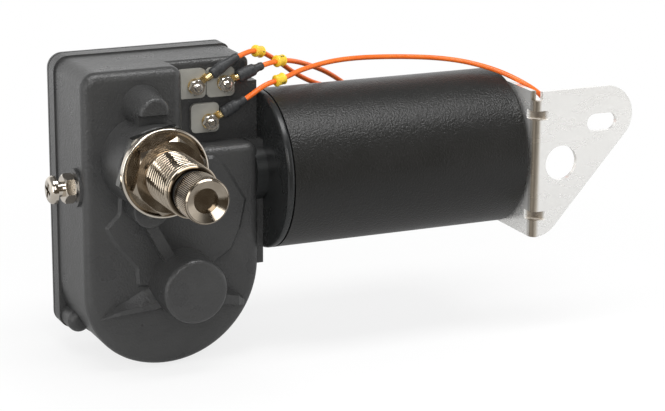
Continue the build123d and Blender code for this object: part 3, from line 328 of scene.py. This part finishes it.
FINISH = {
    case_black: ["gearbox_housing", "gearbox_cover"],
    tube_black: ["motor_tube", "motor_end_cap"],
    bell_black: ["motor_front_bell"],
    nickel: ["spindle_bush", "mounting_nut", "wiper_spindle"],
    washer_nickel: ["mounting_washer", "adjuster_screw", "adjuster_lock_nut"],
    plated: ["terminal_studs", "terminal_nuts"],
    zinc: ["cover_screws", "tie_nuts"],
    # Painted shade: the back nut takes the darker copy of the steel
    shaded_steel: ["back_nut"],
    steel: [
        "wheel_stud", "wheel_clip", "tie_bolts", "brush_springs", "worm_shaft", "armature_core",
        "spindle_lever", "spindle_clip", "link_pin", "connecting_link", "crank_pin",
    ],
    bracket_steel: ["mounting_bracket"],
    bronze: [
        "spindle_bearing_front", "spindle_bearing_rear", "shaft_bush_left", "shaft_bush_gearbox",
        "rear_bearing",
    ],
    brass: ["ring_terminals"],
    copper: ["armature_windings", "commutator"],
    ferrite: ["magnets"],
    carbon: ["brushes"],
    grey_plastic: ["terminal_pads", "brush_holder", "thrust_pad"],
    nylon: ["worm_wheel"],
    sleeve_black: ["heat_shrink_sleeves"],
    lead_orange: ["lead_1", "lead_2", "lead_3"],
    marker_yellow: ["lead_markers"],
    gasket_dark: ["cover_gasket"],
    rubber: ["spindle_seal", "lead_grommet"],
}
for material, names in FINISH.items():
    for name in names:
        for slot in NODES[name].material_slots:
            slot.material = material

# Building blocks of the pieces


def put(name, mesh, material, body):
    """New smooth piece that rides on a body."""
    for polygon in mesh.polygons:
        polygon.use_smooth = True
    obj = bpy.data.objects.new(name, mesh)
    bpy.context.scene.collection.objects.link(obj)
    mesh.materials.append(material)
    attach(obj, body)
    return obj


def spline_points(curve_object):
    """Centreline of a curve, as points in metres."""
    bare = curve_object.data.copy()
    bare.bevel_depth = 0
    probe = bpy.data.objects.new("probe", bare)
    mesh = bpy.data.meshes.new_from_object(probe)
    points = [vertex.co.copy() for vertex in mesh.vertices]
    bpy.data.objects.remove(probe)
    bpy.data.meshes.remove(mesh)
    bpy.data.curves.remove(bare)
    return points


def lengths_along(points):
    """Length from the first point to each point."""
    total = [0.0]
    for a, b in zip(points, points[1:]):
        total.append(total[-1] + (b - a).length)
    return total


def point_at(points, lengths, s):
    """Point at a length along a line, held to its two ends."""
    s = min(max(s, 0.0), lengths[-1])
    for k in range(len(points) - 1):
        if s <= lengths[k + 1]:
            span = lengths[k + 1] - lengths[k]
            t = (s - lengths[k]) / span if span else 0.0
            return points[k].lerp(points[k + 1], t)
    return points[-1].copy()


def direction_at(points, lengths, s, reach):
    """Direction of a line at a length along it, from points a reach behind and ahead."""
    return (point_at(points, lengths, s + reach) - point_at(points, lengths, s - reach)).normalized()


def joined(mesh, rings):
    """Quads between each pair of neighbouring rings of vertices."""
    for first, second in rings:
        for n in range(len(first)):
            after = (n + 1) % len(first)
            mesh.faces.new((first[n], first[after], second[after], second[n]))


def finished(mesh, name):
    """Mesh data from a bmesh, with its faces turned outwards."""
    bmesh.ops.recalc_face_normals(mesh, faces=mesh.faces)
    data = bpy.data.meshes.new(name)
    mesh.to_mesh(data)
    mesh.free()
    return data


# Sides round a sleeve or marker, and how far to each side its direction is measured
TUBE_SIDES = 28
TUBE_REACH = 0.3 * MM


def tube_along(points, start, end, profile, steps):
    """Closed tube between two lengths along a line; profile gives (wide, thick) radii at 0 to 1."""
    lengths = lengths_along(points)
    mesh = bmesh.new()
    rings = []
    side = None
    for k in range(steps + 1):
        t = k / steps
        s = start + (end - start) * t
        centre = point_at(points, lengths, s)
        along = direction_at(points, lengths, s, TUBE_REACH)
        side = Vector((0, 1, 0)).cross(along) if side is None else side - along * side.dot(along)
        side.normalize()
        normal = along.cross(side)
        wide, thick = profile(t)
        ring = []
        for n in range(TUBE_SIDES):
            angle = 2 * math.pi * n / TUBE_SIDES
            offset = side * wide * math.cos(angle) + normal * thick * math.sin(angle)
            ring.append(mesh.verts.new(centre + offset))
        rings.append(ring)
    joined(mesh, zip(rings, rings[1:]))
    mesh.faces.new(list(reversed(rings[0])))
    mesh.faces.new(rings[-1])
    return finished(mesh, "tube")


def turned(name, outline, sides, radius_at):
    """Closed ring about the spindle axis; the outline's (y, radius) in mm go round its section."""
    mesh = bmesh.new()
    rings = []
    for y, radius in outline:
        ring = []
        for n in range(sides):
            angle = 2 * math.pi * n / sides
            r = radius_at(y, radius, angle)
            ring.append(mesh.verts.new((r * math.cos(angle) * MM, y * MM, r * math.sin(angle) * MM)))
        rings.append(ring)
    joined(mesh, zip(rings, rings[1:] + rings[:1]))
    return finished(mesh, name)


# Threaded spindle bush, in millimetres and degrees

BUSH_RADIUS = 10.0
BUSH_SIDES = 120
THREAD_PITCH = 2.0
THREAD_DEPTH = 0.95
THREAD_START = -7.6
THREAD_END = -27.7
THREAD_STEPS = 10
THREAD_RUN_OUT = 0.8
THREAD_SHARP_ANGLE = 50
# Shares of the pitch
ROOT_HALF_WIDTH = 0.10
FLANK_WIDTH = 0.27
# A radius of nought is worked out from the thread
THREADED = 0


def thread_radius(y, radius, angle):
    """Helical thread where the outline says so, plain elsewhere."""
    if radius != THREADED:
        return radius
    phase = (y / THREAD_PITCH + angle / (2 * math.pi)) % 1.0
    rise = min(1.0, max(0.0, (abs(phase - 0.5) - ROOT_HALF_WIDTH) / FLANK_WIDTH))
    run_out = min(1.0, (THREAD_START - y) / THREAD_RUN_OUT, (y - THREAD_END) / THREAD_RUN_OUT)
    return BUSH_RADIUS - THREAD_DEPTH * (1 - rise) * max(0.0, run_out)


def bush_outline():
    """Section of the bush from the back of its bore, along the outside, to the front of its bore."""
    outline = [
        (24.6, 8.0), (24.6, 11.0), (4.0, 11.0), (4.0, 9.7), (0.0, 9.7), (0.0, BUSH_RADIUS),
        (-1.4, BUSH_RADIUS), (-1.4, 9.7), (THREAD_START, 9.7),
    ]
    count = int((THREAD_START - THREAD_END) / THREAD_PITCH * THREAD_STEPS)
    for k in range(1, count):
        outline.append((THREAD_START + (THREAD_END - THREAD_START) * k / count, THREADED))
    return outline + [
        (THREAD_END, 9.5), (-27.9, 9.3), (-28.3, 9.3), (-28.45, 9.9), (-28.6, BUSH_RADIUS),
        (-29.05, BUSH_RADIUS), (-29.2, 9.85), (-29.3, 9.5), (-29.5, 9.5), (-29.6, 9.6),
        (-30.35, 8.95), (-30.5, 8.75), (-30.5, 8.0),
    ]


bush_mesh = turned("threaded_bush", bush_outline(), BUSH_SIDES, thread_radius)
bush = put("threaded_bush", bush_mesh, thread_nickel, "gearbox")
bush.data.set_sharp_from_angle(angle=math.radians(THREAD_SHARP_ANGLE))
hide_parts("spindle_bush")

# Knurl on the spindle head, in millimetres and degrees

KNURL_TEETH = 76
KNURL_SIDES_PER_TOOTH = 4
KNURL_DEPTH = 0.30
HEAD_RADIUS = 8.2
KNURL_ROOT = 8.24
KNURL_SHARP_ANGLE = 40


def knurl_radius(y, radius, angle):
    """Straight teeth above the head's radius."""
    phase = (angle * KNURL_TEETH / (2 * math.pi)) % 1.0
    tooth = 1 - abs(phase - 0.5) * 2
    return radius + (KNURL_DEPTH * tooth if radius > HEAD_RADIUS else 0.0)


knurl_outline = [
    (-33.0, 8.1), (-33.0, HEAD_RADIUS), (-33.2, KNURL_ROOT), (-36.0, KNURL_ROOT), (-40.0, KNURL_ROOT),
    (-43.5, KNURL_ROOT), (-43.7, HEAD_RADIUS), (-43.7, 8.1),
]
knurl_mesh = turned("head_knurl", knurl_outline, KNURL_TEETH * KNURL_SIDES_PER_TOOTH, knurl_radius)
knurl = put("head_knurl", knurl_mesh, knurl_nickel, "spindle")
knurl.data.set_sharp_from_angle(angle=math.radians(KNURL_SHARP_ANGLE))

# Leads, with the same routes as the CAD leads, in millimetres

LEADS = {
    "lead_1": [
        (30.0, 28.8, 28.4), (34.8, 28.7, 31.7), (41.9, 29.0, 35.1), (50.4, 33.2, 36.0), (61.8, 40.8, 29.4),
        (73.7, 49.0, 20.9), (88.0, 57.0, 13.5), (108.0, 65.6, 8.4), (132.0, 68.8, -1.6), (150.0, 70.3, -8.6),
        (163.0, 70.6, -9.4), (166.9, 64.2, -9.6), (163.0, 58.0, -9.7), (155.0, 58.0, -9.7),
    ],
    "lead_2": [
        (40.9, 28.8, 26.8), (46.0, 28.4, 28.8), (53.0, 28.8, 31.0), (62.0, 33.0, 31.0), (76.0, 43.0, 26.2),
        (92.0, 53.0, 18.4), (111.0, 63.0, 4.0), (134.0, 67.6, -8.6), (150.0, 70.3, -12.2),
        (163.0, 70.6, -12.8), (166.9, 64.2, -12.6), (163.0, 58.0, -12.9), (155.0, 58.0, -12.9),
    ],
    "lead_3": [
        (34.4, 28.9, 12.9), (38.6, 27.6, 15.6), (44.0, 25.8, 19.2), (50.6, 25.0, 23.8), (59.0, 27.0, 24.8),
        (69.0, 32.0, 26.9), (88.0, 37.6, 28.4), (113.0, 40.6, 26.8), (136.0, 37.0, 24.8), (149.4, 27.0, 21.8),
        (157.2, 16.6, 17.9), (165.0, 12.6, 12.4), (171.0, 17.0, 4.0), (173.0, 28.0, -3.0),
        (171.0, 41.0, -8.0), (163.6, 54.9, -11.3), (155.0, 54.9, -11.3),
    ],
}
LEAD_RADIUS = 1.0 * MM


def lead_curve(name, route):
    """The lead itself: a round line along its route."""
    curve = bpy.data.curves.new(name + "_line", "CURVE")
    curve.dimensions = "3D"
    spline = curve.splines.new("NURBS")
    spline.points.add(len(route) - 1)
    for point, place in zip(spline.points, route):
        point.co = (place[0] * MM, place[1] * MM, place[2] * MM, 1)
    spline.order_u = 3
    spline.use_endpoint_u = True
    spline.resolution_u = 12
    curve.bevel_depth = LEAD_RADIUS
    curve.bevel_resolution = 6
    curve.use_fill_caps = True
    curve.materials.append(lead_orange)
    obj = bpy.data.objects.new(name + "_wire", curve)
    bpy.context.scene.collection.objects.link(obj)
    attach(obj, "gearbox")
    return obj


# Shrunk sleeves: how sharp the step down to the lead is, and how flat the crimp is
STEP_SHARPNESS = 26
CRIMP_FLATNESS = 0.86
# Height, rate and start of each ripple
RIPPLES = ((0.06 * MM, 23, 0), (0.04 * MM, 51, 1))
# How far each end closes in, and over what share of the length
CRIMP_END = (0.35, 0.06)
LEAD_END = (0.22, 0.04)


def closing(t, end):
    amount, share = end
    return amount * max(0.0, 1 - t / share) ** 2


def sleeve_profile(big, small, step):
    """Shrunk sleeve: wide over the crimp, then a soft step down on to the lead."""
    def profile(t):
        ease = 1 / (1 + math.exp(-(t - step) * STEP_SHARPNESS))
        radius = big + (small - big) * ease
        ripple = sum(height * math.sin(t * rate + start) for height, rate, start in RIPPLES)
        rounded = 1 - closing(t, CRIMP_END) - closing(1 - t, LEAD_END)
        flatness = CRIMP_FLATNESS + (1 - CRIMP_FLATNESS) * ease
        return (radius + ripple) * rounded, (radius * flatness + ripple) * rounded
    return profile


# Marker rings, in millimetres, with places and widths along them as shares of the length
MARKER_RADIUS = 2.18
MARKER_LIP = 0.20
LIP_PLACE = 0.13
LIP_WIDTH = 0.07
MARKER_BEVEL = 0.25
BEVEL_WIDTH = 0.05


def marker_profile(t):
    """Marker ring with a lip at each end."""
    edge = min(t, 1 - t)
    lip = math.exp(-((edge - LIP_PLACE) / LIP_WIDTH) ** 2)
    radius = (MARKER_RADIUS + MARKER_LIP * lip - MARKER_BEVEL * max(0.0, 1 - edge / BEVEL_WIDTH)) * MM
    return radius, radius


# The figures face this place near the photograph's camera, in metres
VIEWER = Vector((-0.27, -0.71, 0.21))
# Figures, in millimetres
FIGURE_RADIUS = 2.24
FIGURE_HEIGHT = 2.7
FIGURE_BOLDNESS = 0.05
FIGURE_REACH = 0.5 * MM


def digit(name, character, points, middle, turn):
    """Printed figure wrapped round a marker, its height along the lead."""
    text = bpy.data.curves.new(name, "FONT")
    text.body = character
    text.size = FIGURE_HEIGHT
    text.offset = FIGURE_BOLDNESS
    text.align_x = "CENTER"
    text.align_y = "CENTER"
    probe = bpy.data.objects.new("probe", text)
    mesh = bpy.data.meshes.new_from_object(probe)
    bpy.data.objects.remove(probe)
    bpy.data.curves.remove(text)
    lengths = lengths_along(points)
    centre = point_at(points, lengths, middle)
    along = direction_at(points, lengths, middle, FIGURE_REACH)
    toward = VIEWER - centre
    toward = (toward - along * toward.dot(along)).normalized()
    side = along.cross(toward)
    for vertex in mesh.vertices:
        angle = turn + vertex.co.x / FIGURE_RADIUS
        out = toward * math.cos(angle) + side * math.sin(angle)
        vertex.co = centre + along * (vertex.co.y * MM) + out * (FIGURE_RADIUS * MM)
    return mesh


# Length, radius over the crimp, radius on the lead, and the step's place as a share of the length
SLEEVES = {
    "lead_1": (12.6, 2.25, 1.75, 0.52),
    "lead_2": (10.8, 2.5, 1.55, 0.66),
    "lead_3": (10.8, 2.4, 1.5, 0.62),
}
# Start and end along the lead, the figure's shift from the middle, and its turn in degrees
MARKERS = {
    "lead_1": (22.0, 26.5, 1.2, -10),
    "lead_2": (17.5, 22.0, 0.0, -48),
    "lead_3": (24.4, 28.9, 0.4, 48),
}
SLEEVE_STEPS = 40
MARKER_STEPS = 30
for name, route in LEADS.items():
    wire = lead_curve(name, route)
    points = spline_points(wire)

    end, big, small, step = SLEEVES[name]
    shrunk = sleeve_profile(big * MM, small * MM, step)
    sleeve_mesh = tube_along(points, 0.0, end * MM, shrunk, SLEEVE_STEPS)
    sleeve = put(name + "_sleeve", sleeve_mesh, sleeve_black, "gearbox")

    low, high, shift, turn = MARKERS[name]
    marker_mesh = tube_along(points, low * MM, high * MM, marker_profile, MARKER_STEPS)
    marker = put(name + "_marker", marker_mesh, marker_yellow, "gearbox")

    middle = ((low + high) / 2 + shift) * MM
    figure_mesh = digit(name + "_figure", name[-1], points, middle, math.radians(turn))
    figure = put(name + "_figure", figure_mesh, ink_black, "gearbox")

    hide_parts(name)
    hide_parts("heat_shrink_sleeves")
    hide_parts("lead_markers")

# Floor, in metres: it ends close in front of the spindle, where bright metal would mirror it

FLOOR_DROP = 0.0005
FLOOR_EDGE = [(-6, -0.2), (0.2, -0.2), (0.28, -0.5), (6, -0.5), (6, 6), (-6, 6)]
UNDER_OBJECT = (0.07, 0.03)
# Distances from that place between which the floor turns to plain white, and the level it starts at
WHITE_REACH = (0.10, 0.27)
WHITE_START = 0.80
# Distances between which the object's own gloss sees the floor go from dim to full
DIM_REACH = (0.12, 0.60)
DIM_START = 0.42
floor_z = cad_bounds[0][2] - FLOOR_DROP


def floor_material():
    """Pale floor that keeps the shadow, and is white where the camera, metal and glass see it."""
    material, tree, shader = new_material("pale_floor")
    shader.inputs["Base Color"].default_value = (0.9, 0.9, 0.9, 1)
    shader.inputs["Roughness"].default_value = 0.8
    glow = tree.nodes.new("ShaderNodeEmission")
    glow.inputs["Color"].default_value = WHITE
    rays = tree.nodes.new("ShaderNodeLightPath").outputs
    reach = vector_math(tree, "DISTANCE", object_place(tree), (*UNDER_OBJECT, floor_z))["Value"]
    seen = combined(tree, "MAXIMUM", rays["Is Camera Ray"], rays["Is Glossy Ray"])
    seen = combined(tree, "MAXIMUM", seen, rays["Is Transmission Ray"])
    # The floor turns to plain white away from the object, so that its edges don't show
    share = combined(tree, "MULTIPLY", seen, map_range(tree, reach, *WHITE_REACH, WHITE_START, 1.0))
    # Close to the object, its own gloss sees a dimmer floor than the camera does
    dim = map_range(tree, reach, *DIM_REACH, DIM_START, 1.0)
    tree.links.new(combined(tree, "MAXIMUM", rays["Is Camera Ray"], dim), glow.inputs["Strength"])
    floor_look = mixed_shader(tree, share, shader.outputs["BSDF"], glow.outputs["Emission"])
    tree.links.new(floor_look, tree.nodes["Material Output"].inputs["Surface"])
    return material


floor_mesh = bpy.data.meshes.new("floor")
floor_mesh.from_pydata([(x, y, floor_z) for x, y in FLOOR_EDGE], [], [range(len(FLOOR_EDGE))])
floor = bpy.data.objects.new("floor", floor_mesh)
bpy.context.scene.collection.objects.link(floor)
floor_mesh.materials.append(floor_material())

# World: white to the camera, soft light on the object, and a studio that metal and glass mirror

TOWARD_BACKDROP = (0.31, 0.95, 0.0)
# How far a direction points to the backdrop, from the studio's dim side to the plain white
STUDIO_TURN = (-0.76, 0.0)
# Upward parts of a direction between which the backdrop ends, and the level above it
BACKDROP_TOP = (0.34, 0.60)
LEVEL_ABOVE = 0.22
SOFT_LIGHT = (0.98, 0.99, 1.0, 1)
SOFT_STRENGTH = 0.50


def background(tree, colour, strength):
    node = tree.nodes.new("ShaderNodeBackground")
    feed(tree, colour, node.inputs["Color"])
    feed(tree, strength, node.inputs["Strength"])
    return node.outputs["Background"]


def studio_world():
    world = bpy.data.worlds.new("studio")
    world.use_nodes = True
    tree = world.node_tree
    tree.nodes.clear()
    rays = tree.nodes.new("ShaderNodeLightPath").outputs
    direction = tree.nodes.new("ShaderNodeTexCoord").outputs["Generated"]
    # The white backdrop is behind the object, and the camera's side is dim
    turned_to = vector_math(tree, "DOT_PRODUCT", direction, TOWARD_BACKDROP)["Value"]
    studio = ramp(tree, map_range(tree, turned_to, *STUDIO_TURN), [
        (0.0, (0.080, 0.066, 0.048)), (0.07, (0.12, 0.10, 0.078)), (0.22, (0.40, 0.37, 0.33)),
        (0.5, grey(0.8)), (1.0, grey(1.0)),
    ])
    # The backdrop ends some way above the object
    apart = tree.nodes.new("ShaderNodeSeparateXYZ")
    tree.links.new(direction, apart.inputs[0])
    height = map_range(tree, apart.outputs["Z"], *BACKDROP_TOP, 1.0, LEVEL_ABOVE)
    mirror = combined(tree, "MAXIMUM", rays["Is Glossy Ray"], rays["Is Transmission Ray"])
    soft = background(tree, SOFT_LIGHT, SOFT_STRENGTH)
    lit = mixed_shader(tree, mirror, soft, background(tree, studio, height))
    shown = mixed_shader(tree, rays["Is Camera Ray"], lit, background(tree, WHITE, 1.0))
    output = tree.nodes.new("ShaderNodeOutputWorld")
    tree.links.new(shown, output.inputs["Surface"])
    return world


bpy.context.scene.world = studio_world()

# Camera solved from the photograph, in millimetres, degrees and pixels

CAMERA_AZIMUTH = -24.33
CAMERA_ELEVATION = 15.5
CAMERA_ROLL = -0.38
CAMERA_DISTANCE = 857.08
CAMERA_RIGHT = 70.89
CAMERA_UP = -17.01
CAMERA_AIM = Vector((0, 22, 0))
FOCAL_LENGTH = 2283.28
PHOTO_WIDTH = 665
SENSOR_WIDTH = 36


def photo_camera():
    azimuth = math.radians(CAMERA_AZIMUTH)
    elevation = math.radians(CAMERA_ELEVATION)
    roll = math.radians(CAMERA_ROLL)
    right = Vector((math.cos(azimuth), math.sin(azimuth), 0))
    level = math.cos(elevation)
    forward = Vector((-math.sin(azimuth) * level, math.cos(azimuth) * level, -math.sin(elevation)))
    up = right.cross(forward)
    place = CAMERA_AIM + right * CAMERA_RIGHT + up * CAMERA_UP - forward * CAMERA_DISTANCE
    right_rolled = right * math.cos(roll) - up * math.sin(roll)
    up_rolled = right * math.sin(roll) + up * math.cos(roll)
    data = bpy.data.cameras.new("photo_view")
    data.sensor_width = SENSOR_WIDTH
    data.lens = SENSOR_WIDTH * FOCAL_LENGTH / PHOTO_WIDTH
    data.clip_start = 0.05
    data.clip_end = 30
    camera = bpy.data.objects.new("photo_view", data)
    bpy.context.scene.collection.objects.link(camera)
    facing = Matrix((right_rolled, up_rolled, -forward)).transposed()
    camera.matrix_world = Matrix.Translation(place * MM) @ facing.to_4x4()
    return camera


bpy.context.scene.camera = photo_camera()

# Lights: name, place, target, size in metres and power in watts

SOFTBOXES = [
    ("top_softbox", (0.05, -0.20, 0.75), (0.06, 0.03, 0.0), (0.9, 0.26), 5.6),
    ("left_softbox", (-0.78, -0.36, 0.16), (0.03, 0.02, 0.0), (0.40, 0.5), 1.7),
    ("front_softbox", (-0.24, -0.90, 0.44), (0.05, 0.0, 0.0), (0.5, 0.45), 2.8),
]
for name, place, target, size, power in SOFTBOXES:
    data = bpy.data.lights.new(name, "AREA")
    data.shape = "RECTANGLE"
    data.size, data.size_y = size
    data.energy = power
    softbox = bpy.data.objects.new(name, data)
    bpy.context.scene.collection.objects.link(softbox)
    softbox.location = place
    aim = Vector(target) - Vector(place)
    softbox.rotation_euler = aim.to_track_quat("-Z", "Y").to_euler()

bpy.context.scene.view_settings.view_transform = "Standard"
